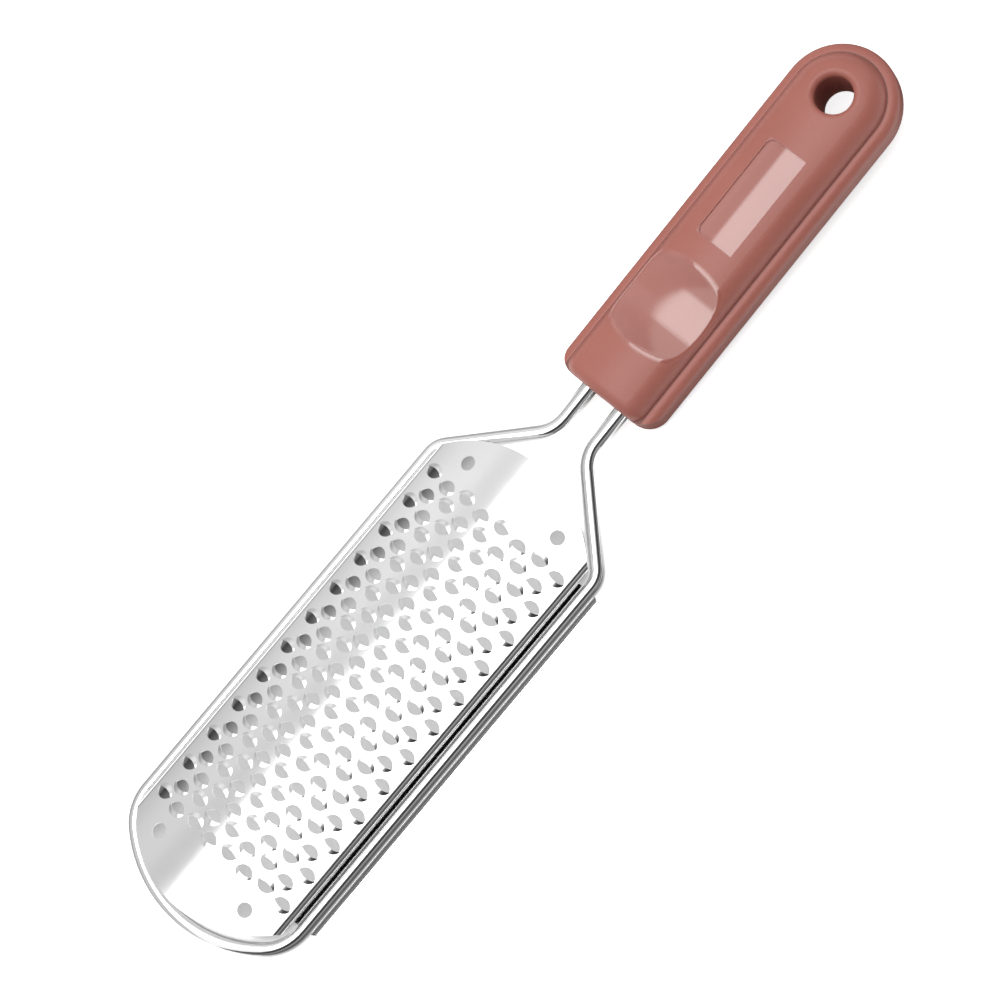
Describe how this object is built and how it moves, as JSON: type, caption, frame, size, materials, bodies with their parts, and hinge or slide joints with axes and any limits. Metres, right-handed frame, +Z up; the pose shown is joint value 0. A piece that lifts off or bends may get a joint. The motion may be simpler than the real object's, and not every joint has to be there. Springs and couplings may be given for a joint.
{
  "type": "foot file",
  "caption": "Hand-held foot file: an arched stainless rasp plate flanged under a bent wire loop whose prongs run into a moulded grip with a thumb rest and a hang hole.",
  "frame": {"origin": "middle of the file's box in plan, on the plane of the two flanges it lies on", "axes": "+X from the tip of the loop to the end of the grip, +Y across, +Z up on the rasping side"},
  "size_m": [0.2598, 0.058, 0.0208],
  "materials": {
    "wire_steel": "polished stainless wire",
    "plate_steel": "polished stainless sheet",
    "grip_lower_plastic": "satin dusty rose",
    "grip_upper_plastic": "satin dusty rose with a polished panel and thumb rest"
  },
  "bodies": {
    "root": {"wire_frame": "wire_steel", "rasp_plate": "plate_steel", "handle_lower_shell": "grip_lower_plastic", "handle_upper_shell": "grip_upper_plastic"}
  },
  "joints": []
}
